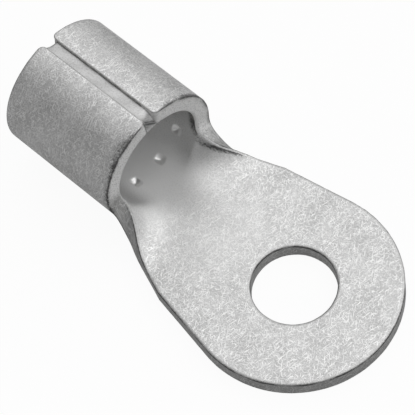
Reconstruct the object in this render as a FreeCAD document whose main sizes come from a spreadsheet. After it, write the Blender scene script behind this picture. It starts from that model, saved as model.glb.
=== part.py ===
import FreeCAD, Part
import Sketcher
import os
from math import acos, cos, pi, radians, sin

# A ring terminal punched from one sheet of copper, rolled into a barrel whose seam is brazed,
# and tin plated.
# The frame's origin is the centre of the stud hole, in the plane of the tongue's underside.
# +Z points up out of the tongue, and the barrel lies towards -X. All sizes are millimetres
# and degrees.

SIZES = [
    ("sheet_thickness", 1.8, "thickness of the sheet everywhere"),
    ("stud_hole_diameter", 8.4, "clearance hole for an 8 mm stud"),
    ("ring_diameter", 21.5, "outer diameter of the ring tongue"),
    ("taper_angle", 10.1, "lean of each straight side of the tongue"),
    ("tongue_length", 9.6, "stud hole centre to the corners where the neck begins"),
    ("neck_angle", 20.7, "lean of each side of the neck"),
    ("mouth_distance", 17.3, "stud hole centre to the front end of the barrel"),
    ("shoulder_radius", 1.9, "inside radius between the neck and the barrel's front edge"),
    ("barrel_diameter", 14.2, "outer diameter of the rolled barrel"),
    ("barrel_length", 14.2, "length of the rolled barrel"),
    ("seam_gap", 1.05, "opening between the barrel's two wings"),
    ("seam_corner_radius", 0.6, "rounding of the four corners of the seam"),
    ("braze_depth", 0.4, "top of the barrel down to the braze in the seam"),
    ("braze_setback", 0.55, "ends of the barrel to the ends of the braze"),
    ("rim_bevel", 0.2, "bevel for the soft upper rim that punching leaves"),
    ("grip_width", 1.3, "side of one pressed grip mark"),
    ("grip_depth", 0.45, "depth of one pressed grip mark"),
    ("grip_wall_angle", 45.0, "lean of a grip mark's four walls"),
    ("grip_setback", 2.4, "mouth to the row of grip marks"),
    ("grip_step_angle", 38.0, "angle between neighbouring grip marks"),
    ("grip_count", 4, "grip marks in the row"),
]

document = FreeCAD.newDocument("RingTerminal")
sheet = document.addObject("Spreadsheet::Sheet", "Sizes")
for row, (alias, number, meaning) in enumerate(SIZES, start=1):
    sheet.set(f"A{row}", alias)
    sheet.set(f"B{row}", str(number))
    sheet.set(f"C{row}", meaning)
    sheet.setAlias(f"B{row}", alias)
document.recompute()

# The shoulder's arc meets the barrel's front edge just short of tangent, in degrees.
SHOULDER_END_ANGLE = 84

# Lengths that follow from the driving sizes.
THICKNESS = "Sizes.sheet_thickness"
RING_RADIUS = "(Sizes.ring_diameter / 2)"
BARREL_RADIUS = "(Sizes.barrel_diameter / 2)"
ROLL_RADIUS = f"({BARREL_RADIUS} - {THICKNESS} / 2)"
BORE_RADIUS = f"({BARREL_RADIUS} - {THICKNESS})"
REAR_DISTANCE = "(Sizes.mouth_distance + Sizes.barrel_length)"
GRIP_START = "(-Sizes.grip_step_angle * (Sizes.grip_count - 1) / 2 * 1 deg)"
TAPER = "(Sizes.taper_angle * 1 deg)"
NECK = "(Sizes.neck_angle * 1 deg)"
CORNER_HALF_WIDTH = f"(({RING_RADIUS} - Sizes.tongue_length * sin({TAPER})) / cos({TAPER}))"
BEVEL_ACROSS = f"(Sizes.rim_bevel / cos({TAPER}))"
NECK_LENGTH = "(Sizes.mouth_distance - Sizes.tongue_length)"
SHOULDER_REACH = f"(Sizes.shoulder_radius * sin({SHOULDER_END_ANGLE} deg))"
STRAIGHT_NECK = f"(({NECK_LENGTH} - {SHOULDER_REACH} - Sizes.shoulder_radius * sin({NECK})) / cos({NECK}))"
SHOULDER_CENTRE = (f"({CORNER_HALF_WIDTH} - {STRAIGHT_NECK} * sin({NECK})"
                   f" + Sizes.shoulder_radius * cos({NECK}))")

# How a sketch names the points of an edge, its own two axes and its origin.
START, END, CENTRE = range(1, 4)
LEVEL_AXIS, UPRIGHT_AXIS = -1, -2
SKETCH_ORIGIN = -1


def value(expression):
    """Number that an expression gives with the present sizes."""
    result = sheet.evalExpression(expression)
    return float(getattr(result, "Value", result))


def origin_plane(body, role):
    """One of the body's own origin planes."""
    return next(item for item in body.Origin.OriginFeatures if item.Role == role)


def new_sketch(body, name, role, height="0"):
    """Empty sketch on one of the body's origin planes, or at a height above it."""
    sketch = body.newObject("Sketcher::SketchObject", name)
    sketch.AttachmentSupport = [(origin_plane(body, role), "")]
    sketch.MapMode = "FlatFace"
    sketch.setExpression("AttachmentOffset.Base.z", height)
    return sketch


def bind(sketch, name, constraint, expression):
    """Named dimension whose number comes from the sheet."""
    index = sketch.addConstraint(constraint)
    sketch.renameConstraint(index, name)
    sketch.setExpression(f"Constraints.{name}", expression)


def close_loop(sketch, edges):
    """Join the end of each listed edge to the start of the next one."""
    for (edge, end), (following, start) in edges:
        sketch.addConstraint(Sketcher.Constraint("Coincident", edge, end, following, start))


def flat_section(body, name, distance, half_width):
    """The sheet's outline where it is still flat, with its upper corners bevelled."""
    sketch = new_sketch(body, name, "YZ_Plane", f"-({distance})")
    side = value(half_width)
    top = value(THICKNESS)
    bevel = value("Sizes.rim_bevel")
    inset = value(BEVEL_ACROSS)
    half = [(0, 0), (side, 0), (side, top - bevel), (side - inset, top)]
    corners = half + [(0, top)] + [(-across, up) for across, up in reversed(half[1:])]
    points = [FreeCAD.Vector(across, up, 0) for across, up in corners]
    for here, there in zip(points, points[1:] + points[:1]):
        sketch.addGeometry(Part.LineSegment(here, there))
    close_loop(sketch, [((edge, END), ((edge + 1) % 8, START)) for edge in range(8)])
    sketch.addConstraint(Sketcher.Constraint("Coincident", 0, START, SKETCH_ORIGIN, START))
    for edge in (0, 7, 3, 4):
        sketch.addConstraint(Sketcher.Constraint("Horizontal", edge))
    for edge in (1, 6):
        sketch.addConstraint(Sketcher.Constraint("Vertical", edge))
    sketch.addConstraint(Sketcher.Constraint("PointOnObject", 3, END, UPRIGHT_AXIS))
    for left, right in ((0, 7), (1, 6), (3, 4)):
        sketch.addConstraint(Sketcher.Constraint("Equal", left, right))
    bind(sketch, "HalfWidth", Sketcher.Constraint("DistanceX", 0, START, 0, END, side), half_width)
    bind(sketch, "EndHeight", Sketcher.Constraint("DistanceY", 1, START, 1, END, top - bevel),
         f"{THICKNESS} - Sizes.rim_bevel")
    bind(sketch, "BevelHeight", Sketcher.Constraint("DistanceY", 2, START, 2, END, bevel),
         "Sizes.rim_bevel")
    bind(sketch, "BevelInset", Sketcher.Constraint("DistanceX", 2, END, 2, START, inset), BEVEL_ACROSS)
    return sketch


def rolled_section(body, name, distance, roll, half_length):
    """The sheet's curved band, rolled to a middle radius, with its ends square to the sheet.

    The half length runs along the middle of the sheet from its lowest line to its edge.
    """
    sketch = new_sketch(body, name, "YZ_Plane", f"-({distance})")
    middle = value(roll)
    half = value(THICKNESS) / 2
    bevel = value("Sizes.rim_bevel")
    upright = FreeCAD.Vector(0, 0, 1)
    centre = FreeCAD.Vector(0, middle + half, 0)
    outer = Part.Circle(centre, upright, middle + half)
    inner = Part.Circle(centre, upright, middle - half)
    bevelled = Part.Circle(centre, upright, middle - half + bevel)
    down = -pi / 2
    reach = value(half_length) / middle
    inner_reach = reach - value(BEVEL_ACROSS) / (middle - half)
    outer_right = Part.ArcOfCircle(outer, down, down + reach)
    inner_right = Part.ArcOfCircle(inner, down, down + inner_reach)
    inner_left = Part.ArcOfCircle(inner, down - inner_reach, down)
    outer_left = Part.ArcOfCircle(outer, down - reach, down)
    right_corner = bevelled.value(down + reach)
    left_corner = bevelled.value(down - reach)
    sketch.addGeometry(outer_right)
    sketch.addGeometry(Part.LineSegment(outer_right.EndPoint, right_corner))
    sketch.addGeometry(Part.LineSegment(right_corner, inner_right.EndPoint))
    sketch.addGeometry(inner_right)
    sketch.addGeometry(inner_left)
    sketch.addGeometry(Part.LineSegment(inner_left.StartPoint, left_corner))
    sketch.addGeometry(Part.LineSegment(left_corner, outer_left.StartPoint))
    sketch.addGeometry(outer_left)
    close_loop(sketch, [((0, END), (1, START)), ((1, END), (2, START)), ((2, END), (3, END)),
                        ((3, START), (4, END)), ((4, START), (5, START)), ((5, END), (6, START)),
                        ((6, END), (7, START)), ((7, END), (0, START))])
    for arc in (3, 4, 7):
        sketch.addConstraint(Sketcher.Constraint("Coincident", 0, CENTRE, arc, CENTRE))
    for end_line in (1, 6):
        sketch.addConstraint(Sketcher.Constraint("PointOnObject", 0, CENTRE, end_line))
    sketch.addConstraint(Sketcher.Constraint("PointOnObject", 0, CENTRE, UPRIGHT_AXIS))
    sketch.addConstraint(Sketcher.Constraint("Coincident", 0, START, SKETCH_ORIGIN, START))
    sketch.addConstraint(Sketcher.Constraint("PointOnObject", 3, START, UPRIGHT_AXIS))
    outer_turn = f"{half_length} / {roll} * 180 / pi * 1 deg"
    inner_lack = f"{BEVEL_ACROSS} / ({roll} - {THICKNESS} / 2)"
    inner_turn = f"({half_length} / {roll} - {inner_lack}) * 180 / pi * 1 deg"
    bind(sketch, "OuterRadius", Sketcher.Constraint("Radius", 0, middle + half), f"{roll} + {THICKNESS} / 2")
    bind(sketch, "InnerRadius", Sketcher.Constraint("Radius", 3, middle - half), f"{roll} - {THICKNESS} / 2")
    bind(sketch, "OuterRightTurn", Sketcher.Constraint("Angle", 0, reach), outer_turn)
    bind(sketch, "OuterLeftTurn", Sketcher.Constraint("Angle", 7, reach), outer_turn)
    bind(sketch, "InnerRightTurn", Sketcher.Constraint("Angle", 3, inner_reach), inner_turn)
    bind(sketch, "InnerLeftTurn", Sketcher.Constraint("Angle", 4, inner_reach), inner_turn)
    for end_line, label in ((1, "RightEnd"), (6, "LeftEnd")):
        bind(sketch, label, Sketcher.Constraint("Distance", end_line, 2 * half - bevel),
             f"{THICKNESS} - Sizes.rim_bevel")
    return sketch


def roll_at(distance):
    """Middle radius of the sheet: endless at the tongue's corners, the barrel's at the mouth.

    The curvature grows from nothing to the barrel's, starting slowly and ending smoothly.
    """
    way = f"(({distance}) - Sizes.tongue_length) / {NECK_LENGTH}"
    eased = f"(pow({way}; 2))"
    return f"({ROLL_RADIUS} / (pow({eased}; 2) * (3 - 2 * {eased})))"


def neck_edge(part):
    """Distance and half length of the sheet, a part of the way along the neck's straight side."""
    along = f"({part} * {STRAIGHT_NECK})"
    distance = f"(Sizes.tongue_length + {along} * cos({NECK}))"
    half_length = f"({CORNER_HALF_WIDTH} - {along} * sin({NECK}))"
    return distance, half_length


def shoulder_edge(turn):
    """Distance and half length of the sheet on the shoulder's arc, turned from the narrowest place."""
    distance = f"(Sizes.mouth_distance - {SHOULDER_REACH} + Sizes.shoulder_radius * sin({turn} deg))"
    half_length = f"({SHOULDER_CENTRE} - Sizes.shoulder_radius * cos({turn} deg))"
    return distance, half_length


def tongue_sketch(body):
    """Ring, its two tapering sides and the line where the neck begins."""
    sketch = new_sketch(body, "TongueOutline", "XY_Plane")
    radius = value(RING_RADIUS)
    length = value("Sizes.tongue_length")
    side = value(CORNER_HALF_WIDTH)
    turn = pi / 2 + radians(value("Sizes.taper_angle"))
    upright = FreeCAD.Vector(0, 0, 1)
    circle = Part.Circle(FreeCAD.Vector(), upright, radius)
    touch = FreeCAD.Vector(radius * cos(turn), radius * sin(turn), 0)
    other_touch = FreeCAD.Vector(touch.x, -touch.y, 0)
    corner = FreeCAD.Vector(-length, side, 0)
    other_corner = FreeCAD.Vector(-length, -side, 0)
    sketch.addGeometry(Part.ArcOfCircle(circle, -turn, turn))
    sketch.addGeometry(Part.LineSegment(touch, corner))
    sketch.addGeometry(Part.LineSegment(corner, other_corner))
    sketch.addGeometry(Part.LineSegment(other_corner, other_touch))
    sketch.addConstraint(Sketcher.Constraint("Tangent", 0, END, 1, START))
    sketch.addConstraint(Sketcher.Constraint("Tangent", 0, START, 3, END))
    close_loop(sketch, [((1, END), (2, START)), ((2, END), (3, START))])
    sketch.addConstraint(Sketcher.Constraint("Coincident", 0, CENTRE, SKETCH_ORIGIN, START))
    sketch.addConstraint(Sketcher.Constraint("Symmetric", 2, START, 2, END, LEVEL_AXIS))
    bind(sketch, "RingRadius", Sketcher.Constraint("Radius", 0, radius), RING_RADIUS)
    reach = Sketcher.Constraint("DistanceX", 2, START, SKETCH_ORIGIN, START, length)
    bind(sketch, "TongueLength", reach, "Sizes.tongue_length")
    bind(sketch, "CornerHalfWidth", Sketcher.Constraint("DistanceY", SKETCH_ORIGIN, START, 2, START, side),
         CORNER_HALF_WIDTH)
    return sketch


def circle_sketch(body, name, role, circles, height="0"):
    """Circles about the sketch's origin, each a name and an expression for its radius."""
    sketch = new_sketch(body, name, role, height)
    for index, (label, radius) in enumerate(circles):
        circle = Part.Circle(FreeCAD.Vector(), FreeCAD.Vector(0, 0, 1), value(radius))
        sketch.addGeometry(circle)
        sketch.addConstraint(Sketcher.Constraint("Coincident", index, CENTRE, SKETCH_ORIGIN, START))
        bind(sketch, label, Sketcher.Constraint("Radius", index, value(radius)), radius)
    return sketch


def seam_sketch(body):
    """Slot between the two wings, from one end of the barrel to the other."""
    sketch = new_sketch(body, "SeamOutline", "XY_Plane", "Sizes.barrel_diameter")
    front = -value("Sizes.mouth_distance")
    rear = -value(REAR_DISTANCE)
    half = value("Sizes.seam_gap") / 2
    corners = [(rear, -half), (front, -half), (front, half), (rear, half)]
    points = [FreeCAD.Vector(along, across, 0) for along, across in corners]
    for here, there in zip(points, points[1:] + points[:1]):
        sketch.addGeometry(Part.LineSegment(here, there))
    close_loop(sketch, [((edge, END), ((edge + 1) % 4, START)) for edge in range(4)])
    sketch.addConstraint(Sketcher.Constraint("Symmetric", 1, START, 1, END, LEVEL_AXIS))
    sketch.addConstraint(Sketcher.Constraint("Symmetric", 3, START, 3, END, LEVEL_AXIS))
    sketch.addConstraint(Sketcher.Constraint("Horizontal", 0))
    bind(sketch, "Front", Sketcher.Constraint("DistanceX", 1, START, SKETCH_ORIGIN, START, -front),
         "Sizes.mouth_distance")
    bind(sketch, "Rear", Sketcher.Constraint("DistanceX", 3, END, SKETCH_ORIGIN, START, -rear),
         REAR_DISTANCE)
    bind(sketch, "Gap", Sketcher.Constraint("DistanceY", 1, START, 1, END, 2 * half), "Sizes.seam_gap")
    return sketch


def braze_sketch(body):
    """Section of the braze in the seam, flush with the bore and below the barrel's top."""
    sketch = new_sketch(body, "BrazeSection", "YZ_Plane", f"-({REAR_DISTANCE} - Sizes.braze_setback)")
    sketch.setExpression("AttachmentOffset.Base.y", BARREL_RADIUS)
    half = value("Sizes.seam_gap") / 2
    bore = value(BORE_RADIUS)
    height = value(BARREL_RADIUS) - value("Sizes.braze_depth")
    reach = acos(half / bore)
    floor = Part.Circle(FreeCAD.Vector(), FreeCAD.Vector(0, 0, 1), bore)
    arc = Part.ArcOfCircle(floor, reach, pi - reach)
    top_right, top_left = FreeCAD.Vector(half, height, 0), FreeCAD.Vector(-half, height, 0)
    sketch.addGeometry(arc)
    sketch.addGeometry(Part.LineSegment(arc.EndPoint, top_left))
    sketch.addGeometry(Part.LineSegment(top_left, top_right))
    sketch.addGeometry(Part.LineSegment(top_right, arc.StartPoint))
    close_loop(sketch, [((0, END), (1, START)), ((1, END), (2, START)), ((2, END), (3, START)),
                        ((3, END), (0, START))])
    sketch.addConstraint(Sketcher.Constraint("Coincident", 0, CENTRE, SKETCH_ORIGIN, START))
    sketch.addConstraint(Sketcher.Constraint("Vertical", 1))
    sketch.addConstraint(Sketcher.Constraint("Vertical", 3))
    sketch.addConstraint(Sketcher.Constraint("Symmetric", 2, START, 2, END, UPRIGHT_AXIS))
    bind(sketch, "BoreRadius", Sketcher.Constraint("Radius", 0, bore), BORE_RADIUS)
    bind(sketch, "Gap", Sketcher.Constraint("DistanceX", 2, START, 2, END, 2 * half), "Sizes.seam_gap")
    bind(sketch, "Height", Sketcher.Constraint("DistanceY", SKETCH_ORIGIN, START, 2, START, height),
         f"{BARREL_RADIUS} - Sizes.braze_depth")
    return sketch


def grip_sketch(body):
    """Square of the first grip mark, on a plane that touches the barrel's inner wall."""
    sketch = new_sketch(body, "GripOutline", "XY_Plane",
                        f"{BARREL_RADIUS} - {BORE_RADIUS} * cos({GRIP_START})")
    tilt = FreeCAD.Rotation(FreeCAD.Vector(1, 0, 0), value("Sizes.grip_step_angle"))
    sketch.AttachmentOffset = FreeCAD.Placement(FreeCAD.Vector(), tilt)
    sketch.setExpression("AttachmentOffset.Base.x", "-(Sizes.mouth_distance + Sizes.grip_setback)")
    sketch.setExpression("AttachmentOffset.Base.y", f"{BORE_RADIUS} * sin({GRIP_START})")
    sketch.setExpression("AttachmentOffset.Rotation.Angle", GRIP_START)
    half = value("Sizes.grip_width") / 2
    corners = [(-half, -half), (half, -half), (half, half), (-half, half)]
    points = [FreeCAD.Vector(along, across, 0) for along, across in corners]
    for here, there in zip(points, points[1:] + points[:1]):
        sketch.addGeometry(Part.LineSegment(here, there))
    close_loop(sketch, [((edge, END), ((edge + 1) % 4, START)) for edge in range(4)])
    for edge in (0, 2):
        sketch.addConstraint(Sketcher.Constraint("Horizontal", edge))
    sketch.addConstraint(Sketcher.Constraint("Vertical", 1))
    sketch.addConstraint(Sketcher.Constraint("Equal", 0, 1))
    sketch.addConstraint(Sketcher.Constraint("Symmetric", 0, START, 1, END, SKETCH_ORIGIN, START))
    width = Sketcher.Constraint("DistanceX", 0, START, 0, END, 2 * half)
    bind(sketch, "GripWidth", width, "Sizes.grip_width")
    return sketch


def pad(body, name, sketch, length):
    """Material raised from a sketch."""
    feature = body.newObject("PartDesign::Pad", name)
    feature.Profile = sketch
    feature.setExpression("Length", length)
    document.recompute()
    return feature


def pocket(body, name, sketch, length):
    """Material cut away below a sketch."""
    feature = body.newObject("PartDesign::Pocket", name)
    feature.Profile = sketch
    feature.setExpression("Length", length)
    document.recompute()
    return feature


def edge_names(shape, wanted):
    """Names of the edges that the test wants."""
    return [f"Edge{number}" for number, edge in enumerate(shape.Edges, start=1) if wanted(edge)]


def near(number, wanted):
    """Whether a length is the wanted one, within a small allowance."""
    return abs(number - wanted) < 0.001


def is_seam_corner(edge):
    """Upright corner of a wing, at either end of the seam."""
    box = edge.BoundBox
    ends = (-value("Sizes.mouth_distance"), -value(REAR_DISTANCE))
    upright = box.XLength < 0.001 and box.YLength < 0.001
    at_end = any(near(box.XMin, end) for end in ends)
    at_gap = near(abs(box.YMin), value("Sizes.seam_gap") / 2)
    return upright and at_end and at_gap


def is_upper_rim(edge):
    """Rim of the tongue's upper face, at the ring, its straight sides or the stud hole."""
    box = edge.BoundBox
    level = near(box.ZMin, value(THICKNESS)) and near(box.ZMax, value(THICKNESS))
    ahead = box.XMax > -value("Sizes.tongue_length") + 0.001
    return level and ahead


body = document.addObject("PartDesign::Body", "RingTerminal")
body.Label = "ring_terminal"

# The flat tongue, its stud hole and its soft upper rims.
pad(body, "Tongue", tongue_sketch(body), THICKNESS)
hole_circle = circle_sketch(body, "StudHoleCircle", "XY_Plane",
                            [("HoleRadius", "Sizes.stud_hole_diameter / 2")], THICKNESS)
stud_hole = pocket(body, "StudHole", hole_circle, THICKNESS)
rims = body.newObject("PartDesign::Chamfer", "UpperRims")
rims.Base = (stud_hole, edge_names(stud_hole.Shape, is_upper_rim))
rims.setExpression("Size", "Sizes.rim_bevel")
document.recompute()

# The neck and shoulders, one sheet that rolls up as it nears the barrel.
neck = body.newObject("PartDesign::AdditiveLoft", "Neck")
neck.Profile = flat_section(body, "NeckStart", "Sizes.tongue_length", CORNER_HALF_WIDTH)
edges = [neck_edge(part) for part in (0.25, 0.5, 0.75, 1.0)]
edges += [shoulder_edge(turn) for turn in (0, 22, 44, 64, SHOULDER_END_ANGLE)]
neck.Sections = [rolled_section(body, f"NeckBand{number}", distance, roll_at(distance), half_length)
                 for number, (distance, half_length) in enumerate(edges, start=1)]
document.recompute()

# The barrel, the seam between its wings with rounded corners, and the braze that closes it.
barrel_rings = circle_sketch(body, "BarrelRings", "YZ_Plane",
                             [("OuterRadius", BARREL_RADIUS), ("BoreRadius", BORE_RADIUS)],
                             f"-({REAR_DISTANCE})")
barrel_rings.setExpression("AttachmentOffset.Base.y", BARREL_RADIUS)
pad(body, "Barrel", barrel_rings, "Sizes.barrel_length")
seam = pocket(body, "Seam", seam_sketch(body), BARREL_RADIUS)
corners = body.newObject("PartDesign::Fillet", "SeamCorners")
corners.Base = (seam, edge_names(seam.Shape, is_seam_corner))
corners.setExpression("Radius", "Sizes.seam_corner_radius")
document.recompute()
pad(body, "Braze", braze_sketch(body), "Sizes.barrel_length - 2 * Sizes.braze_setback")

# The grip marks pressed into the barrel's inner wall.
grip = pocket(body, "GripMark", grip_sketch(body), "Sizes.grip_depth")
grip.setExpression("TaperAngle", "-Sizes.grip_wall_angle")
row = body.newObject("PartDesign::PolarPattern", "GripRow")
row.Originals = [grip]
row.Axis = (barrel_rings, ["N_Axis"])
row.Mode = "Spacing"
row.setExpression("Offset", "Sizes.grip_step_angle * 1 deg")
row.setExpression("Occurrences", "Sizes.grip_count")
body.Tip = row
document.recompute()

for item in document.Objects:
    if "Invalid" in item.State or "Error" in item.State:
        raise RuntimeError(f"{item.Label} failed: {item.State}")
if body.Shape.isNull() or not body.Shape.isValid() or len(body.Shape.Solids) != 1:
    raise RuntimeError(f"{body.Label} is not one valid solid")

os.makedirs("parts", exist_ok=True)
body.Shape.exportStep(f"parts/{body.Label}.step")
print(f"{body.Label}: {body.Shape.Volume:.1f} cubic millimetres")
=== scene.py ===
"""The looks of a heavy tin plated ring terminal, and the stage that it is shown on.

The terminal is one punched sheet. Its flat blank is outlined, meshed and rolled up by the same
law as the solid, with soft rims where the punch entered and grip pits pressed into the barrel.
Braze closes the seam on top.
"""

from math import asin, ceil, cos, hypot, pi, radians, sin, sqrt

import bmesh
import bpy
from bpy.props import FloatProperty, FloatVectorProperty, IntProperty, PointerProperty
from mathutils import Matrix, Vector, noise
from mathutils.geometry import delaunay_2d_cdt


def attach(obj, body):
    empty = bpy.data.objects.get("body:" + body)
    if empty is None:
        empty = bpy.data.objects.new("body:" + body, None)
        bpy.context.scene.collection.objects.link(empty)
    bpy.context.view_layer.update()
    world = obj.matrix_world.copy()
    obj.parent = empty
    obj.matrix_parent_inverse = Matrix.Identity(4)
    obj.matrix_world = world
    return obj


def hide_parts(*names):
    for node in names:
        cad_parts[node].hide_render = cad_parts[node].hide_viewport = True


bl_info = {
    "name": "Ring Terminal",
    "version": (1, 0, 0),
    "blender": (4, 5, 0),
    "location": "View3D > Sidebar > Terminal",
    "description": "Builds a rolled ring terminal in matte tin plate, and a pale stage for it",
    "category": "Object",
}

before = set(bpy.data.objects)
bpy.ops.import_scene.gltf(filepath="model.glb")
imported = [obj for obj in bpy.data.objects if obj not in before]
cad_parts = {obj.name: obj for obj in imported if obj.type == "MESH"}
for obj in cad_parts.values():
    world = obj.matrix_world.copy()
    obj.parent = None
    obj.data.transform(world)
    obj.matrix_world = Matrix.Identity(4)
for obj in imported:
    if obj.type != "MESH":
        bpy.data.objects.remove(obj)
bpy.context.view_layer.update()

MM = 0.001

# The flat sheet's map: metres per unit, and what is added across to stay above zero.
MAP_SPAN = 0.1
MAP_LIFT = 0.3


def length(name, description, default):
    """Property for a length in metres, given in millimetres."""
    return FloatProperty(name=name, description=description, default=default * MM, min=0.0,
                         unit="LENGTH", subtype="DISTANCE", precision=5)


def angle(name, description, default):
    """Property for an angle, given in degrees."""
    return FloatProperty(name=name, description=description, default=radians(default),
                         unit="ROTATION", subtype="ANGLE")


def share(name, description, default, most=1.0):
    """Property for a plain number from nothing to its most."""
    return FloatProperty(name=name, description=description, default=default, min=0.0, max=most)


def colour(name, description, default):
    """Property for a colour."""
    return FloatVectorProperty(name=name, description=description, default=default, size=3,
                               min=0.0, max=1.0, subtype="COLOR")


class SheetSettings(bpy.types.PropertyGroup):
    """Sizes of the punched and rolled sheet."""

    thickness: length("Thickness", "Thickness of the sheet", 1.8)
    hole_diameter: length("Stud hole", "Diameter of the stud hole", 8.4)
    ring_diameter: length("Ring", "Outer diameter of the ring", 21.5)
    taper: angle("Taper", "Lean of the tongue's straight sides", 10.1)
    tongue: length("Tongue", "Stud hole centre to the corners of the neck", 9.6)
    neck: angle("Neck", "Lean of the neck's sides", 20.7)
    mouth: length("Mouth", "Stud hole centre to the barrel's front", 17.3)
    shoulder: length("Shoulder", "Inside radius between neck and barrel", 1.9)
    barrel_diameter: length("Barrel", "Outer diameter of the barrel", 14.2)
    barrel_length: length("Barrel length", "Length of the rolled barrel", 14.2)
    seam_gap: length("Seam", "Opening between the barrel's two wings", 1.05)
    braze_depth: length("Braze", "Top of the barrel down to the braze", 0.4)
    braze_setback: length("Braze setback", "Ends of the barrel to the ends of the braze", 0.55)
    seam_corner: length("Seam corner", "Rounding of the wings' corners", 0.6)
    roll_width: length("Die roll width", "How far the punch's soft rim reaches in", 0.34)
    roll_depth: length("Die roll depth", "How deep the punch's soft rim is", 0.2)
    burr: length("Lower rim", "Rounding of the sheet's lower rim", 0.14)
    grain: length("Mesh step", "Distance between the mesh's points", 0.3)


class GripSettings(bpy.types.PropertyGroup):
    """The pits pressed into the barrel's inner wall."""

    count: IntProperty(name="Pits", description="Number of pits in the row",
                       default=4, min=0, max=12)
    width: length("Width", "Side of one pit at the surface", 1.3)
    depth: length("Depth", "Depth of one pit", 0.42)
    step: angle("Step", "Angle between neighbouring pits", 38.0)
    setback: length("Setback", "Mouth to the row of pits", 2.4)


class TinSettings(bpy.types.PropertyGroup):
    """Finish of the plated sheet."""

    plate: colour("Plate", "Colour of the matte tin", (0.72, 0.72, 0.717))
    # The nicks' colour also serves for the painted highlights on rims and in pits.
    bright: colour("Nicks", "Colour of the fine bright tumbling marks", (0.98, 0.98, 0.975))
    edge: colour("Edge", "Colour of the punched sides", (0.5, 0.5, 0.495))
    # Painted light: a lighter plate colour put in the bore and on the mouth's end faces, where
    # light falls short.
    clean: colour("Lit plate", "Colour in the barrel, where nothing rubs", (0.9, 0.9, 0.895))
    # Painted shade: near black put along rims, in creases, by the seam and the mouth, and in a few
    # specks.
    soil: colour("Soil", "Colour of the soil in creases", (0.05, 0.05, 0.05))
    roughness: share("Roughness", "Roughness of the plate", 0.5)
    needle: length("Nick length", "Length of a tumbling mark", 0.42)


class StageSettings(bpy.types.PropertyGroup):
    """Camera, soft lights and floor."""

    azimuth: angle("Azimuth", "Where the camera stands round the part", -36.42)
    elevation: angle("Elevation", "How high the camera stands", 59.57)
    roll: angle("Roll", "Turn of the camera about its view", -11.67)
    distance: length("Distance", "Camera to the point it aims at", 220.5)
    lens: share("Lens", "Focal length in millimetres, on a sensor 36 mm wide", 198.44, 500.0)
    aim: FloatVectorProperty(name="Aim", description="Point that the camera aims at", size=3,
                             subtype="TRANSLATION", default=(-10.166 * MM, -0.759 * MM, 6.341 * MM))
    floor: colour("Floor", "Colour of the floor as the terminal mirrors it", (0.35, 0.35, 0.35))
    whiteness: share("Whiteness", "Share of plain white in what the camera sees of the floor", 0.94)
    backdrop: share("Backdrop", "Share of plain white that the camera sees behind the floor", 0.97)
    mirrored: share("Mirrored white", "Share of plain white in what metal mirrors of it", 0.18)
    brightness: share("Brightness", "Brightness of all the soft lights", 1.0, 4.0)
    tightness: share("Tightness", "How tightly each soft light keeps to its own side", 5.0, 50.0)


# Soft lights of the studio: azimuth, elevation and brightness. +X is azimuth 0, +Y is 90.
SOFT_LIGHTS = (
    (0, 90, 0.89),
    (0, 8, 0.28),
    (90, 66, 0.19),
    (45, 38, 0.82),
    (135, 38, 0.55),
    (90, 8, 0.5),
    (225, 8, 0.14),
    (270, 8, 0.35),
)


# The blank: its outline, its rims and the points between them, along and across the flat sheet.


def half_corner(size):
    """Half width of the tongue at the corners of the neck, at a tangent to the ring."""
    return (size.ring_diameter / 2 - size.tongue * sin(size.taper)) / cos(size.taper)


def straight(start, end, step):
    """Points from start up to but not at end, evenly spaced."""
    gap = hypot(end[0] - start[0], end[1] - start[1])
    count = max(1, ceil(gap / step))
    run, rise = end[0] - start[0], end[1] - start[1]
    return [(start[0] + run * k / count, start[1] + rise * k / count) for k in range(count)]


def arc(centre, radius, first, last, step):
    """Points on an arc from its first angle up to but not at its last one."""
    fewest = 6
    count = max(fewest, ceil(abs(last - first) * radius / step))
    turns = [first + (last - first) * k / count for k in range(count)]
    return [(centre[0] + radius * cos(turn), centre[1] + radius * sin(turn)) for turn in turns]


def wing_end(size):
    """Half length of the barrel's sheet, measured along its middle, up to the seam."""
    middle = (size.barrel_diameter - size.thickness) / 2
    return middle * (pi - asin(size.seam_gap / 2 / middle))


def blank_outline(size):
    """Closed outline of the blank, from the ring's tip round by one side and back by the other."""
    ring = size.ring_diameter / 2
    step = size.grain
    touch = (ring * sin(size.taper), ring * cos(size.taper))
    corner = (size.tongue, half_corner(size))
    inner = size.shoulder
    neck_run = (size.mouth - size.tongue - inner - inner * sin(size.neck)) / cos(size.neck)
    neck_end = (size.tongue + neck_run * cos(size.neck), corner[1] - neck_run * sin(size.neck))
    pivot = (size.mouth - inner, neck_end[1] + inner * cos(size.neck))
    rear = size.mouth + size.barrel_length
    wing = wing_end(size)
    small = size.seam_corner
    front_pivot = (size.mouth + small, wing - small)
    rear_pivot = (rear - small, wing - small)

    side = arc((0, 0), ring, pi, pi / 2 - size.taper, step)
    side += straight(touch, corner, step)
    side += straight(corner, neck_end, step)
    side += arc(pivot, inner, -pi / 2 - size.neck, 0, step / 2)
    side += straight((size.mouth, pivot[1]), (size.mouth, front_pivot[1]), step)
    side += arc(front_pivot, small, pi, pi / 2, step / 3)
    side += straight((front_pivot[0], wing), (rear_pivot[0], wing), step)
    side += arc(rear_pivot, small, pi / 2, 0, step / 3)
    side += straight((rear, rear_pivot[1]), (rear, 0), step)
    other = [(along, -across) for along, across in reversed(side[1:])]
    return side + [(rear, 0)] + other


def circle(radius, step):
    """Closed circle round the stud hole."""
    return arc((0, 0), radius, 0, 2 * pi, step)


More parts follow.
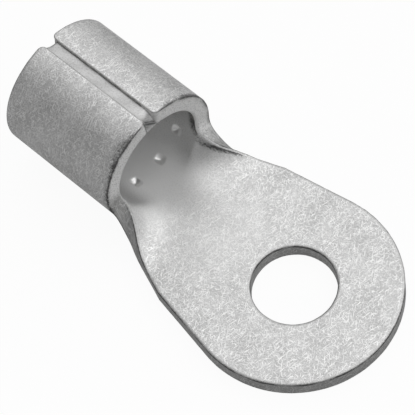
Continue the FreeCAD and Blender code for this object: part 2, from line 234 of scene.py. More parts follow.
def outward_normals(loop, sign):
    """Unit normals of a closed loop, lengthened at its corners so that an inset keeps its width."""
    sharpest = 0.6
    normals = []
    for before, here, after in zip(loop[-1:] + loop[:-1], loop, loop[1:] + loop[:1]):
        first = Vector((here[1] - before[1], before[0] - here[0])).normalized()
        second = Vector((after[1] - here[1], here[0] - after[0])).normalized()
        both = (first + second).normalized()
        normals.append(both * sign / max(sharpest, both.dot(first)))
    return normals


# How dark the painted shade lies over the rolled upper rim, down the side and over the lower rim.
ROLL_SHADE = (0.05, 0.15, 0.3, 0.6, 0.95, 1.0)
WALL_SHADE = ((0.05, 0.85), (0.13, 0.2), (0.4, 0.0), (0.7, 0.0), (0.93, 0.15))
BURR_SHADE = (0.4, 0.75, 0.8, 0.4)


def rim_profile(size):
    """Steps from the sheet's upper face over the rim to its lower one, as (inset, height, painted
    shade).
    """
    half = size.thickness / 2
    top, bottom = half - size.roll_depth, -half + size.burr
    profile = []
    for k, soil in enumerate(ROLL_SHADE):
        turn = pi / 2 * k / (len(ROLL_SHADE) - 1)
        depth = size.roll_width * (1 - sin(turn))
        profile.append((depth, half - size.roll_depth * (1 - cos(turn)), soil))
    for share_down, soil in WALL_SHADE:
        profile.append((0, top + (bottom - top) * share_down, soil))
    for k, soil in enumerate(BURR_SHADE):
        turn = pi / 2 * k / (len(BURR_SHADE) - 1)
        depth = size.burr * (1 - cos(turn))
        profile.append((depth, bottom - size.burr * sin(turn), soil))
    return profile


def inset(loop, normals, depth):
    """The loop moved inwards by a depth."""
    return [(point[0] - normal.x * depth, point[1] - normal.y * depth)
            for point, normal in zip(loop, normals)]


def inside(point, loop):
    """Whether a point lies within a closed loop."""
    within = False
    for (ax, ay), (bx, by) in zip(loop, loop[1:] + loop[:1]):
        if (ay > point[1]) == (by > point[1]):
            continue
        if point[0] < (bx - ax) * (point[1] - ay) / (by - ay) + ax:
            within = not within
    return within


class NearCheck:
    """Tells whether a point keeps its distance from points noted before."""

    def __init__(self, cell):
        self.cell = cell
        self.kept = {}

    def place(self, point):
        """Column and row of the cell that a point lies in."""
        return int(point[0] // self.cell), int(point[1] // self.cell)

    def add(self, point):
        """Note a point."""
        self.kept.setdefault(self.place(point), []).append(point)

    def clear(self, point, room):
        """Whether no noted point lies within the room, which is at most one cell."""
        column, row = self.place(point)
        for i in range(column - 1, column + 2):
            for j in range(row - 1, row + 2):
                for other in self.kept.get((i, j), ()):
                    if hypot(other[0] - point[0], other[1] - point[1]) < room:
                        return False
        return True


def pit_centres(size, grips):
    """Centres of the pits on the blank."""
    bore = size.barrel_diameter / 2 - size.thickness / 2
    turns = [grips.step * (k - (grips.count - 1) / 2) for k in range(grips.count)]
    return [(size.mouth + grips.setback, turn * bore) for turn in turns]


# Least room round a point of the lattice, and gap between its columns, both per step.
LATTICE_ROOM = 0.55
LATTICE_GAP = sqrt(0.75)


def filling(size, loops, pits, pit_reach):
    """Points between the loops: a staggered lattice, finer round each pit."""
    outline = loops[0]
    step = size.grain
    near = NearCheck(step)
    for loop in loops:
        for point in loop:
            near.add(point)
    points = []
    fine = step / 3
    count = ceil(pit_reach / fine)
    for centre in pits:
        for i in range(-count, count + 1):
            for j in range(-count, count + 1):
                point = (centre[0] + i * fine, centre[1] + (j + 0.5 * (i % 2)) * fine)
                points.append(point)
                near.add(point)
    rows = ceil(max(abs(across) for _, across in outline) / step)
    first = min(along for along, _ in outline)
    last = max(along for along, _ in outline)
    for i in range(ceil((last - first) / (step * LATTICE_GAP))):
        along = first + (i + 0.5) * step * LATTICE_GAP
        for j in range(-rows, rows + 1):
            point = (along, (j + 0.5 * (i % 2)) * step)
            if hypot(*point) <= size.hole_diameter / 2 or not inside(point, outline):
                continue
            if near.clear(point, step * LATTICE_ROOM):
                points.append(point)
    return points


def face_mesh(loops, points):
    """Triangles between the loops: (places, corner triples), the loops' points first."""
    outline, hole = loops
    places = [Vector(point) for point in outline + hole + points]
    edges = [(k, (k + 1) % len(outline)) for k in range(len(outline))]
    edges += [(len(outline) + k, len(outline) + (k + 1) % len(hole)) for k in range(len(hole))]
    inner_only, tolerance = 1, 1e-9
    made, _, triangles, sources, _, _ = delaunay_2d_cdt(places, edges, [], inner_only, tolerance)
    if len(made) != len(places):
        raise RuntimeError("the blank's loops cross")
    source = [origins[0] for origins in sources]
    hole_radius = min(hypot(*point) for point in hole)
    kept = []
    for triangle in triangles:
        middle = sum((made[k] for k in triangle), Vector((0, 0))) / 3
        if middle.length > hole_radius:
            kept.append([source[k] for k in triangle])
    return places, kept


# Rolling the blank up.


def clamped(value):
    """The value kept between nothing and one."""
    return min(max(value, 0.0), 1.0)


def rise(value, start, end):
    """How far a value has come from start to end, from nothing to one."""
    return clamped((value - start) / (end - start))


def rolled_share(size, along):
    """Share of the barrel's curvature at a distance from the stud hole."""
    eased = rise(along, size.tongue, size.mouth) ** 2
    return eased * eased * (3 - 2 * eased)


def rolled(size, along, across, up):
    """Place of a point of the rolled sheet; up is its height above the sheet's middle."""
    flattest = 1e-6
    turned = rolled_share(size, along)
    if turned < flattest:
        return Vector((-along, across, size.thickness / 2 + up))
    radius = (size.barrel_diameter - size.thickness) / 2 / turned
    turn = across / radius
    reach = radius - up
    return Vector((-along, reach * sin(turn), radius + size.thickness / 2 - reach * cos(turn)))


def pit_depth(point, pits, grips):
    """Depth pressed into the inner wall: pyramids with soft corners and edges."""
    deepest = 0.0
    half = grips.width / 2
    foot = half * 1.15
    for centre in pits:
        aside = (abs(point[0] - centre[0]) ** 3 + abs(point[1] - centre[1]) ** 3) ** (1 / 3)
        wall = clamped((foot - aside) / half)
        deepest = max(deepest, wall * wall * (2 - wall))
    return deepest * grips.depth


def sheared(size, point, up):
    """Small inward unevenness of the sheared edge, none at its two rims."""
    patch = size.thickness * 0.35
    deepest = size.thickness * 0.03
    place = Vector((point[0], point[1], up * 2)) / patch
    middle = max(0.0, 1.0 - (2 * up / size.thickness) ** 4)
    return deepest * middle * (1.0 + noise.noise(place))


# Painted light and shade at a point of the blank, and some darker specks, each a number from
# nothing to about one.


def mouth_shade(size, point):
    """Painted shade on the outer wall along the mouth, with a broader smear on one side."""
    neck = size.ring_diameter * 0.32
    fade = size.seam_gap * 1.6
    smear_middle, smear_reach = 1.8, 1.6
    plain_width, smear_width = 0.75, 0.8
    if point[0] < size.mouth - size.burr or abs(point[1]) < neck:
        return 0.0
    from_seam = (wing_end(size) - abs(point[1])) / fade
    smear = max(0.0, 1.0 - abs(from_seam - smear_middle) / smear_reach) if point[1] < 0 else 0.0
    width = size.seam_gap * (plain_width + smear_width * smear)
    return max(0.0, 1.0 - (point[0] - size.mouth) / width) * clamped(from_seam)


def end_face_light(size, point):
    """Painted light on the mouth's end faces, from above the shoulders up."""
    if point[0] > size.mouth + size.thickness:
        return 0.0
    start = size.ring_diameter * (0.3 if point[1] > 0 else 0.42)
    above = clamped((abs(point[1]) - start) / size.thickness)
    return above * clamped((point[0] - size.mouth) / size.thickness + 1.6)


def bore_light(size, point):
    """Painted light in the bore and before it, most of all at the bottom."""
    way = point[0] / size.mouth
    turn = abs(point[1]) / ((size.barrel_diameter - size.thickness) / 2)
    reach = rise(way, 0.05, 0.45) + rise(way, 0.75, 1.1)
    low = rise(turn, 1.5, 0.35)
    return 0.5 * reach * (0.15 + 0.85 * low)


def crease_shade(size, point, shoulder):
    """Painted shade in the crease beside one shoulder, where the inner wall meets the sheet's edge.
    """
    start, end, fade = 0.72, 1.14, 0.08
    strength, darkest = 1.7, 0.9
    way = point[0] / size.mouth
    if point[1] < 0 or not start < way < end:
        return 0.0
    gaps = (hypot(point[0] - other[0], point[1] - other[1]) for other in shoulder)
    nearest = min(gaps, default=size.mouth)
    width = size.roll_width * (1.5 + 3.0 * rolled_share(size, point[0]))
    dark = strength * max(0.0, 1.0 - nearest / width)
    return min(dark, darkest, (way - start) / fade, (end - way) / fade)


def open_specks(size, point, inner):
    """Thin darkening on only the roughest spots of the ring's tip and the barrel's wall."""
    if inner:
        return 0.14 * rise(-point[0] / size.ring_diameter, 0.0, 0.4)
    return 0.1 * rise(point[0] / size.mouth, 0.9, 1.1)


def seam_nearness(size, point):
    """How near a point lies to the wings' edges beside the seam, where highlight and shadow are
    painted.
    """
    if point[0] < size.mouth:
        return 0.0
    return rise((wing_end(size) - abs(point[1])) / size.seam_gap, 0.7, 0.0)


# Building the sheet.

MARKS = ("sheltered", "rim", "soil", "clean")

# Painted highlight in a pit, as a value of the painted light mark, and the share of the pit's depth
# that gives it fully.
PIT_LIGHT = 3.0
PIT_FULL = 1 / 3.5

# Share of the painted rim highlight on the side's lower part, and painted shadow beside the seam on
# the +Y and -Y wings.
SIDE_HIGHLIGHT = 0.4
SEAM_SHADE = (0.45, 0.1)

# How much of the upper rim's painted shade is taken off where the sheet is rolled.
ROLLED_LOSS = 0.6

# Where the shoulders lie along the blank, as shares of the way to the mouth.
SHOULDER_START = 0.65
SHOULDER_END = 1.1

# Where the lower face and the braze lie across the map, in metres.
LOWER_MAP = 0.06
BRAZE_MAP = 0.04


def new_build():
    """Empty mesh in the making with a map, and its layers of marks by name."""
    built = bmesh.new()
    built.loops.layers.uv.new("Blank")
    layers = built.verts.layers.float
    for name in MARKS:
        layers.new(name)
    return built, {name: layers[name] for name in MARKS}


def finished(built, name, flat_place):
    """Mesh with smooth faces, outward normals and a map of where each point lies when flat."""
    bmesh.ops.recalc_face_normals(built, faces=built.faces)
    unfolded = built.loops.layers.uv["Blank"]
    for face in built.faces:
        face.smooth = True
        for loop in face.loops:
            along, across = flat_place(loop.vert)
            loop[unfolded].uv = (along / MAP_SPAN, across / MAP_SPAN + MAP_LIFT)
    mesh = bpy.data.meshes.new(name)
    built.to_mesh(mesh)
    built.free()
    return mesh


def bridge(built, above, below):
    """Quads between two rings of the rim."""
    count = len(above)
    for k in range(count):
        after = (k + 1) % count
        face = built.faces.new((above[k], above[after], below[after], below[k]))
        face.material_index = 1


class SheetBuilder:
    """Gathers the mesh of the rolled sheet from places on the flat blank."""

    def __init__(self, size, grips):
        self.size = size
        self.grips = grips
        self.half = size.thickness / 2
        self.outline = blank_outline(size)
        self.hole = circle(size.hole_diameter / 2, size.grain * 0.8)
        self.outline_normals = outward_normals(self.outline, -1)
        self.hole_normals = [-normal for normal in outward_normals(self.hole, 1)]
        self.pits = pit_centres(size, grips)
        self.shoulder = [point for point in self.outline if point[1] > 0
                         and SHOULDER_START < point[0] / size.mouth < SHOULDER_END]
        self.built, self.marks = new_build()
        self.flat_places = {}

    def add(self, point, up, on_rim, inner, soil):
        """Add a point of the blank at its rolled place with its marks; up is as for rolled."""
        size, marks = self.size, self.marks
        depth = pit_depth(point, self.pits, self.grips) if inner else 0.0
        made = self.built.verts.new(rolled(size, point[0], point[1], up - depth))
        near_seam = seam_nearness(size, point)
        if up > 0:
            soil *= 1.0 - ROLLED_LOSS * rolled_share(size, point[0]) ** 4
        if inner:
            # Painted highlight in the pits, painted light at the bore's bottom, painted shade in
            # the shoulder's crease.
            pressed = PIT_LIGHT * clamped(depth / self.grips.depth / PIT_FULL)
            made[marks["sheltered"]] = max(0.0, point[0] / size.mouth)
            made[marks["clean"]] = max(bore_light(size, point), pressed)
            made[marks["rim"]] = on_rim
            soil = max(soil, crease_shade(size, point, self.shoulder))
        else:
            low = clamped(-up / self.half) ** 2
            above_burr = up > -self.half * 0.9
            # Painted light on the end faces; painted highlight, shadow and shade by the seam and
            # along the mouth.
            if on_rim and above_burr:
                made[marks["clean"]] = end_face_light(size, point)
            made[marks["rim"]] = max(on_rim * (1 - low), near_seam * low)
            seam_shade = near_seam * SEAM_SHADE[0 if point[1] > 0 else 1]
            soil = max(soil, mouth_shade(size, point) * low, seam_shade) * (1 - near_seam * low)
        made[marks["soil"]] = max(soil, open_specks(size, point, inner))
        return made

    def add_face(self, depth, up, soil, inner):
        """Add the upper or the lower face, and give back the vertices of its two loops."""
        loops = (inset(self.outline, self.outline_normals, depth),
                 inset(self.hole, self.hole_normals, depth))
        pit_reach = self.grips.width * 0.75
        points = filling(self.size, loops, self.pits if inner else [], pit_reach)
        places, triangles = face_mesh(loops, points)
        outer_count = len(loops[0])
        edge_count = outer_count + len(loops[1])
        verts = []
        for index, place in enumerate(places):
            at_edge = index < edge_count
            vert = self.add(place, up, 1.0 if at_edge else 0.0, inner, soil if at_edge else 0.0)
            self.flat_places[vert] = (place[0], place[1] + (0 if inner else LOWER_MAP))
            verts.append(vert)
        for triangle in triangles:
            order = triangle[::-1] if inner else triangle
            self.built.faces.new([verts[k] for k in order])
        return verts[:outer_count], verts[outer_count:edge_count]

    def add_rim(self, loop, normals, profile, above, below):
        """Add the rim along one loop, from the upper face's vertices to the lower face's."""
        slack = 1.01
        roll_end = self.half - self.size.roll_depth * slack
        for depth, up, soil in profile:
            away = self.half - up - depth
            row = []
            for point, normal in zip(loop, normals):
                ragged = depth + sheared(self.size, point, up)
                place = (point[0] - normal.x * ragged, point[1] - normal.y * ragged)
                # Each rim row gets the painted highlight, fully on the rolled rim and in part
                # below, and painted shade.
                vert = self.add(place, up, 1.0 if up > roll_end else SIDE_HIGHLIGHT, False, soil)
                self.flat_places[vert] = (point[0] + normal.x * away, point[1] + normal.y * away)
                row.append(vert)
            bridge(self.built, above, row)
            above = row
        bridge(self.built, above, below)

    def mesh(self):
        """The whole rolled sheet: two faces and the rims between them."""
        profile = rim_profile(self.size)
        upper = self.add_face(profile[0][0], self.half, profile[0][2], True)
        lower = self.add_face(profile[-1][0], -self.half, profile[-1][2], False)
        steps = profile[1:-1]
        self.add_rim(self.outline, self.outline_normals, steps, upper[0], lower[0])
        self.add_rim(self.hole, self.hole_normals, steps, upper[1], lower[1])
        return finished(self.built, "ring_terminal_sheet", self.flat_places.get)


# The braze.


def braze_depth(size, across, from_mouth, from_rear):
    """Depth of the braze under the barrel's top, high on one side and sunk on the other."""
    way = clamped(across / size.seam_gap + 0.6)
    sunk = size.braze_depth * (0.3 + 0.6 * way * (2 - way))
    hollow = 0.15 + 0.85 * way
    deepest = size.thickness * 0.8
    for distance, reach in ((from_mouth, 1.3), (from_rear, 0.5)):
        ease = max(0.0, 1.0 - distance / (size.seam_gap * reach))
        sunk += (deepest - sunk) * ease * ease * hollow
    return sunk


def braze_mesh(size):
    """The braze between the wings, which it reaches a little into, from the bore's wall up."""
    outer = size.barrel_diameter / 2
    bore = outer - size.thickness
    half = size.seam_gap / 2 * 1.16
    front_set, rear_set = size.braze_setback * 0.2, size.braze_setback * 0.6
    run = size.barrel_length - front_set - rear_set
    stations = ceil(run / (size.grain * 0.5))
    steps = 18
    ripple_size = 0.04 * size.braze_depth
    wave, slant = 2.1, 3
    built, marks = new_build()
    sections = []
    for i in range(stations + 1):
        passed = run * i / stations
        along = -(size.mouth + front_set + passed)
        # Painted shade towards both ends of the braze.
        end_shade = 0.8 * rise(passed / size.seam_gap, 0.9, 0.0)
        section = []
        for j in range(steps + 1):
            side = 2 * j / steps - 1
            across = half * side
            ripple = ripple_size * sin((passed * wave + across * slant) / size.seam_gap)
            depth = braze_depth(size, across, passed, run - passed) + ripple
            top = outer + sqrt(outer * outer - across * across)
            vert = built.verts.new((along, across, top - depth))
            # Painted shadow along the braze's +Y side, under the wing's step, and painted highlight
            # along its -Y side.
            vert[marks["soil"]] = max(0.5 * rise(side, 0.82, 1.0), end_shade)
            vert[marks["rim"]] = rise(-side, 0.7, 1.0)
            section.append(vert)
        for j in range(steps, -1, -1):
            across = half * (2 * j / steps - 1)
            wall = outer + sqrt(bore * bore - across * across)
            section.append(built.verts.new((along, across, wall)))
        sections.append(section)
    count = len(sections[0])
    for here, there in zip(sections, sections[1:]):
        for k in range(count):
            after = (k + 1) % count
            built.faces.new((here[k], here[after], there[after], there[k]))
    for end in (sections[0], sections[-1]):
        for j in range(steps):
            built.faces.new((end[j], end[j + 1], end[count - 2 - j], end[count - 1 - j]))

    def flat_place(vert):
        """Place on the map, beside the sheet's faces."""
        return -vert.co.x, vert.co.y + vert.co.z + BRAZE_MAP

    return finished(built, "seam_braze", flat_place)


# Materials.


def new_group(name, inputs, outputs):
    """Empty shader node group with named sockets, each a name and a socket type."""
    group = bpy.data.node_groups.new(name, "ShaderNodeTree")
    for label, kind in inputs:
        group.interface.new_socket(label, in_out="INPUT", socket_type=kind)
    for label, kind in outputs:
        group.interface.new_socket(label, in_out="OUTPUT", socket_type=kind)
    entry = group.nodes.new("NodeGroupInput")
    leave = group.nodes.new("NodeGroupOutput")
    return group, entry.outputs, leave.inputs


def node(tree, kind, settings=None, **inputs):
    """New node with its settings, and its inputs set to values or joined to sockets."""
    made = tree.nodes.new(kind)
    for name, chosen in (settings or {}).items():
        setattr(made, name, chosen)
    for name, wanted in inputs.items():
        key = name.replace("_", " ")
        socket = made.inputs[int(key[1:])] if key[1:].isdigit() else made.inputs[key]
        if isinstance(wanted, bpy.types.NodeSocket):
            tree.links.new(wanted, socket)
        else:
            socket.default_value = wanted
    return made


def attribute(tree, name):
    """Value of one of the mesh's marks."""
    return node(tree, "ShaderNodeAttribute", {"attribute_name": name}).outputs["Fac"]


def noise_value(tree, place, scale, detail, roughness):
    """Value of a Noise Texture node."""
    return node(tree, "ShaderNodeTexNoise", {}, Vector=place, Scale=scale, Detail=detail,
                Roughness=roughness).outputs["Fac"]


def maths(tree, operation, first, second=0.0, clamp=False):
    """Output of a Math node."""
    settings = {"operation": operation, "use_clamp": clamp}
    return node(tree, "ShaderNodeMath", settings, i0=first, i1=second).outputs[0]


def plus(tree, first, second, clamp=False):
    """Sum of two values."""
    return maths(tree, "ADD", first, second, clamp)


def minus(tree, first, second):
    """Difference of two values."""
    return maths(tree, "SUBTRACT", first, second)


def times(tree, first, second, clamp=False):
    """Product of two values."""
    return maths(tree, "MULTIPLY", first, second, clamp)


def ramp(tree, source, low, high, least=0.0, most=1.0):
    """A value eased from least to most as the source goes from low to high."""
    made = node(tree, "ShaderNodeMapRange", {"interpolation_type": "SMOOTHSTEP"}, Value=source)
    limits = {"From Min": low, "From Max": high, "To Min": least, "To Max": most}
    for name, number in limits.items():
        made.inputs[name].default_value = number
    return made.outputs["Result"]


def blend(tree, factor, first, second):
    """Mix of two colours."""
    made = node(tree, "ShaderNodeMix", {"data_type": "RGBA"}, i0=factor)
    for index, wanted in ((6, first), (7, second)):
        if isinstance(wanted, bpy.types.NodeSocket):
            tree.links.new(wanted, made.inputs[index])
        else:
            made.inputs[index].default_value = wanted
    return made.outputs[2]


# Tumbling marks: the nicks' directions in degrees, and their length and width in nick lengths.
NICK_TURNS = (12, 57, 101, 148)
NICK_SCALE = (1.6, 0.17, 1.0)


def tumbling_group():
    """Fine straight nicks in several directions, as tumbling leaves them, with a soft cloud."""
    group, entry, leave = new_group(
        "Tumbling marks",
        [("Place", "NodeSocketVector"), ("Fineness", "NodeSocketFloat")],
        [("Nicks", "NodeSocketFloat"), ("Specks", "NodeSocketFloat"), ("Grain", "NodeSocketFloat"),
         ("Cloud", "NodeSocketFloat")])
    place = node(group, "ShaderNodeVectorMath", {"operation": "SCALE"},
                 i0=entry["Place"], i3=entry["Fineness"]).outputs[0]
    nicks = None
    for index, turn in enumerate(NICK_TURNS):
        turned = node(group, "ShaderNodeMapping", {"vector_type": "TEXTURE"}, Vector=place,
                      Location=(7.3 * index, 3.1 * index, 1.7 * index),
                      Rotation=(0, 0, radians(turn)), Scale=NICK_SCALE).outputs[0]
        streaks = ramp(group, noise_value(group, turned, 1.0, 0.5, 0.5), 0.65, 0.69)
        nicks = streaks if nicks is None else maths(group, "MAXIMUM", nicks, streaks)
    grain = noise_value(group, place, 2.4, 4.0, 0.75)
    cloud = noise_value(group, place, 0.16, 3.0, 0.6)
    dots = noise_value(group, place, 4.0, 0.5, 0.5)
    patches = ramp(group, cloud, 0.4, 0.58, 0.2, 1.0)
    specks = times(group, ramp(group, dots, 0.6, 0.7), patches)
    for name, value in (("Nicks", nicks), ("Specks", specks), ("Grain", grain), ("Cloud", cloud)):
        group.links.new(value, leave[name])
    return group


def rim_highlight_group():
    """Painted highlight along the rims, broken up by the grain."""
    group, entry, leave = new_group(
        "Rubbed rim",
        [("Rim", "NodeSocketFloat"), ("Grain", "NodeSocketFloat")],
        [("Highlight", "NodeSocketFloat")])
    broken = times(group, entry["Rim"], plus(group, entry["Grain"], 0.35), clamp=True)
    group.links.new(ramp(group, broken, 0.45, 1.0), leave["Highlight"])
    return group


def shade_group():
    """Painted shade and a few darker specks, broken up by the grain: thin values show only where
    the plate is roughest.
    """
    group, entry, leave = new_group(
        "Broken soil",
        [("Soil", "NodeSocketFloat"), ("Grain", "NodeSocketFloat"), ("Cloud", "NodeSocketFloat")],
        [("Cover", "NodeSocketFloat")])
    patchy = times(group, entry["Soil"], ramp(group, entry["Cloud"], 0.36, 0.56, 0.5, 1.0))
    contrast = times(group, minus(group, entry["Grain"], 0.5), 2.2)
    speckled = plus(group, plus(group, patchy, 0.07), contrast)
    group.links.new(ramp(group, speckled, 0.3, 0.95, 0.0, 0.9), leave["Cover"])
    return group


def shared(name, make):
    """A node group that several materials share, made when the first one asks for it."""
    return bpy.data.node_groups.get(name) or make()


# Share of the plate's colour where it is dullest, and of the nicks' colour in the painted highlight
# on rims.
DULLEST = 0.66
RIM_HIGHLIGHT_SHARE = 0.35

# What is added to the roughness by grain and by the painted light mark, which makes the plate
# matte, and what pits and nicks take from it.
ROUGH_OFFSET = -0.05
ROUGH_GRAIN = 0.14
ROUGH_MATTE = 0.25
SMOOTH_PRESSED = 0.08
SMOOTH_NICKS = 0.12


def tin(name, settings, plate, roughness, nick_share, matte_share, rough_light):
    """One finish of the plate. Tumbling marks lie thickest on the open faces, painted shade on rims
    and in creases.

    A lighter colour is painted in where the painted light mark is set, and the plate is matte
    there:
    matte_share says how much metal lustre it lacks, the last argument how much light rough spots
    keep.
    """
    made = bpy.data.materials.new(name)
    made.use_nodes = True
    tree = made.node_tree
    shader = tree.nodes["Principled BSDF"].inputs
    bright = (*settings.bright, 1)
    place = node(tree, "ShaderNodeUVMap", {"uv_map": "Blank"}).outputs[0]
    tumbled = node(tree, "ShaderNodeGroup", {"node_tree": shared("Tumbling marks", tumbling_group)},
                   Place=place, Fineness=MAP_SPAN / settings.needle).outputs
    rim_highlight = node(tree, "ShaderNodeGroup", {"node_tree": shared("Rubbed rim", rim_highlight_group)},
                Rim=attribute(tree, "rim"), Grain=tumbled["Grain"]).outputs["Highlight"]
    shaded = node(tree, "ShaderNodeGroup", {"node_tree": shared("Broken soil", shade_group)},
                  Soil=attribute(tree, "soil"), Grain=tumbled["Grain"],
                  Cloud=tumbled["Cloud"]).outputs["Cover"]
    clean = attribute(tree, "clean")
    open_face = ramp(tree, attribute(tree, "sheltered"), 0.72, 1.02, 1.0, 0.06)
    marked = plus(tree, tumbled["Nicks"], tumbled["Specks"], clamp=True)
    nicks = times(tree, times(tree, marked, open_face), nick_share)
    grain = times(tree, tumbled["Grain"], open_face)
    # Where the mark passes 1.1, as in the pits, a highlight is painted in the nicks' colour.
    pressed = ramp(tree, clean, 1.1, 1.8)
    matte = times(tree, ramp(tree, clean, 0.55, 1.0), minus(tree, 1.0, pressed))

    clouded = plus(tree, tumbled["Grain"], times(tree, tumbled["Cloud"], 0.35))
    dull = (*(part * DULLEST for part in plate), 1)
    base = blend(tree, ramp(tree, clouded, 0.45, 0.8), dull, (*plate, 1))
    # Painted light, then painted highlights in pits and on rims, then painted shade with a few
    # darker specks.
    light_share = times(tree, clean, ramp(tree, tumbled["Grain"], 0.4, 0.56, rough_light, 1.0))
    base = blend(tree, ramp(tree, light_share, 0.0, 1.0), base, (*settings.clean, 1))
    base = blend(tree, pressed, base, bright)
    base = blend(tree, nicks, base, bright)
    base = blend(tree, times(tree, rim_highlight, RIM_HIGHLIGHT_SHARE), base, bright)
    base = blend(tree, shaded, base, (*settings.soil, 1))
    tree.links.new(base, shader["Base Color"])

    tree.links.new(minus(tree, 1.0, times(tree, matte, matte_share)), shader["Metallic"])
    rough = plus(tree, times(tree, grain, ROUGH_GRAIN), roughness + ROUGH_OFFSET)
    rough = plus(tree, rough, times(tree, matte, ROUGH_MATTE))
    rough = minus(tree, rough, times(tree, pressed, SMOOTH_PRESSED))
    rough = minus(tree, rough, times(tree, nicks, SMOOTH_NICKS))
    tree.links.new(rough, shader["Roughness"])
    height = plus(tree, times(tree, grain, 0.6), nicks)
    bump = node(tree, "ShaderNodeBump", {}, Strength=0.35, Distance=0.02 * MM, Height=height)
    tree.links.new(bump.outputs[0], shader["Normal"])
    return made


def pale_floor(settings):
    """Matte floor that the camera, and in part metal, sees as plain white with a soft shadow."""
    made = bpy.data.materials.new("Pale floor")
    made.use_nodes = True
    tree = made.node_tree
    tree.nodes.clear()
    path = node(tree, "ShaderNodeLightPath")
    paint = blend(tree, path.outputs["Is Camera Ray"], (*settings.floor, 1), (1, 1, 1, 1))
    matte = node(tree, "ShaderNodeBsdfDiffuse", {}, Color=paint)
    glow = node(tree, "ShaderNodeEmission", {}, Color=(1, 1, 1, 1), Strength=1.0)
    bounced = plus(tree, path.outputs["Is Glossy Ray"], path.outputs["Is Transmission Ray"], True)
    mirrored = times(tree, bounced, settings.mirrored)
    seen = times(tree, path.outputs["Is Camera Ray"], settings.whiteness)
    mixed = node(tree, "ShaderNodeMixShader", {}, i0=maths(tree, "MAXIMUM", seen, mirrored),
                 i1=matte.outputs[0], i2=glow.outputs[0])
    leave = node(tree, "ShaderNodeOutputMaterial")
    tree.links.new(mixed.outputs[0], leave.inputs["Surface"])
    return made


# Operators.


def add_piece(context, name, mesh, materials):
    """Put a mesh with its materials into the scene."""
    for material in materials:
        mesh.materials.append(material)
    piece = bpy.data.objects.new(name, mesh)
    context.scene.collection.objects.link(piece)
    return piece


class TERMINAL_OT_sheet(bpy.types.Operator):
    """Build the punched and rolled sheet with its finish"""

    bl_idname = "terminal.sheet"
    bl_label = "Build terminal"

    def execute(self, context):
        scene = context.scene
        finish = scene.terminal_tin
        mesh = SheetBuilder(scene.terminal_sheet, scene.terminal_grips).mesh()
        face = tin("Tin, tumbled face", finish, finish.plate, finish.roughness,
                   nick_share=1.0, matte_share=0.5, rough_light=0.85)
        edge = tin("Tin, punched edge", finish, finish.edge, finish.roughness - 0.04,
                   nick_share=0.5, matte_share=0.9, rough_light=0.35)
        piece = add_piece(context, "ring_terminal_looks", mesh, (face, edge))
        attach(piece, "root")
        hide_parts("ring_terminal")
        return {"FINISHED"}


class TERMINAL_OT_braze(bpy.types.Operator):
    """Build the braze that closes the seam"""

    bl_idname = "terminal.braze"
    bl_label = "Build braze"

    def execute(self, context):
        scene = context.scene
        finish = scene.terminal_tin
        mesh = braze_mesh(scene.terminal_sheet)
        smooth = tin("Tin, braze", finish, finish.plate, finish.roughness - 0.06,
                     nick_share=0.1, matte_share=0.5, rough_light=0.85)
        fill = add_piece(context, "seam_braze", mesh, (smooth,))
        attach(fill, "root")
        return {"FINISHED"}


class TERMINAL_OT_stage(bpy.types.Operator):
    """Build the floor, the camera and the soft lights"""

    bl_idname = "terminal.stage"
    bl_label = "Build stage"

    def execute(self, context):
        settings = context.scene.terminal_stage
        build_floor(settings)
        build_camera(settings)
        build_light(settings)
        return {"FINISHED"}


def build_floor(settings):
    """Wide pale floor just under the terminal."""
    mesh = bpy.data.meshes.new("floor")
    half = 0.6
    level = -0.02 * MM
    corners = [(-half, -half), (half, -half), (half, half), (-half, half)]
    mesh.from_pydata([(x, y, level) for x, y in corners], [], [(0, 1, 2, 3)])
    mesh.materials.append(pale_floor(settings))
    floor = bpy.data.objects.new("floor", mesh)
    bpy.context.scene.collection.objects.link(floor)


def outward(azimuth, elevation):
    """Unit direction from the part towards an azimuth and an elevation, both in radians."""
    return Vector((cos(azimuth) * cos(elevation), sin(azimuth) * cos(elevation), sin(elevation)))


# Width of the camera's sensor, in millimetres.
SENSOR_WIDTH = 36


def build_camera(settings):
    """Camera at the photograph's angle."""
    azimuth = settings.azimuth
    back = outward(azimuth, settings.elevation)
    level = Vector((-sin(azimuth), cos(azimuth), 0))
    upright = back.cross(level)
    right = level * cos(settings.roll) + upright * sin(settings.roll)
    up = upright * cos(settings.roll) - level * sin(settings.roll)
    camera = bpy.data.cameras.new("camera")
    camera.sensor_width = SENSOR_WIDTH
    camera.lens = settings.lens
    camera.clip_start = 0.01
    camera.clip_end = 10
    holder = bpy.data.objects.new("camera", camera)
    place = Matrix((right, up, back)).transposed().to_4x4()
    place.translation = Vector(settings.aim) + back * settings.distance
    holder.matrix_world = place
    bpy.context.scene.collection.objects.link(holder)
    bpy.context.scene.camera = holder


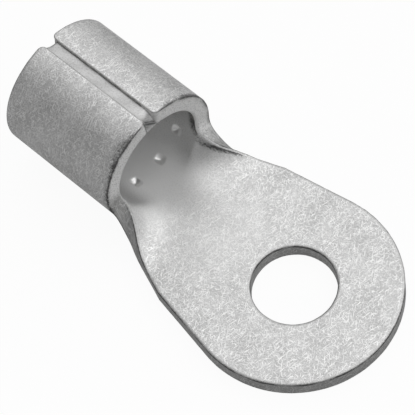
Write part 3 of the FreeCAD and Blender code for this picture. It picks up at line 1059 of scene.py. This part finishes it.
def build_light(settings):
    """Soft lights all round, each brightest in its own direction."""
    scene = bpy.context.scene
    world = bpy.data.worlds.new("Studio")
    scene.world = world
    world.use_nodes = True
    tree = world.node_tree
    tree.nodes.clear()
    direction = node(tree, "ShaderNodeTexCoord").outputs["Generated"]
    total = None
    for azimuth, elevation, strength in SOFT_LIGHTS:
        axis = outward(radians(azimuth), radians(elevation))
        toward = node(tree, "ShaderNodeVectorMath", {"operation": "DOT_PRODUCT"},
                      i0=direction, i1=axis).outputs["Value"]
        aside = times(tree, minus(tree, toward, 1.0), settings.tightness)
        part = times(tree, maths(tree, "EXPONENT", aside), strength * settings.brightness)
        total = part if total is None else plus(tree, total, part)
    seen = node(tree, "ShaderNodeLightPath").outputs["Is Camera Ray"]
    lit = times(tree, total, minus(tree, 1.0, seen))
    shown = plus(tree, lit, times(tree, seen, settings.backdrop))
    sky = node(tree, "ShaderNodeBackground", {}, Color=(1, 1, 1, 1), Strength=shown)
    leave = node(tree, "ShaderNodeOutputWorld")
    tree.links.new(sky.outputs[0], leave.inputs["Surface"])
    scene.view_settings.view_transform = "Standard"


class TERMINAL_PT_panel(bpy.types.Panel):
    """Lists the steps in the sidebar"""

    bl_idname = "TERMINAL_PT_panel"
    bl_label = "Ring terminal"
    bl_space_type = "VIEW_3D"
    bl_region_type = "UI"
    bl_category = "Terminal"

    def draw(self, context):
        for name in STEPS:
            self.layout.operator(f"terminal.{name}")


STEPS = ("sheet", "braze", "stage")
SETTINGS = {
    "terminal_sheet": SheetSettings,
    "terminal_grips": GripSettings,
    "terminal_tin": TinSettings,
    "terminal_stage": StageSettings,
}
OPERATORS = (TERMINAL_OT_sheet, TERMINAL_OT_braze, TERMINAL_OT_stage)
CLASSES = (*SETTINGS.values(), *OPERATORS, TERMINAL_PT_panel)


def register():
    """Add the settings, the operators and the panel."""
    for each in CLASSES:
        bpy.utils.register_class(each)
    for name, kind in SETTINGS.items():
        setattr(bpy.types.Scene, name, PointerProperty(type=kind))


def unregister():
    """Take them away again."""
    for name in SETTINGS:
        delattr(bpy.types.Scene, name)
    for each in reversed(CLASSES):
        bpy.utils.unregister_class(each)


def main():
    """Build everything."""
    register()
    for name in STEPS:
        getattr(bpy.ops.terminal, name)()


if __name__ == "__main__":
    main()
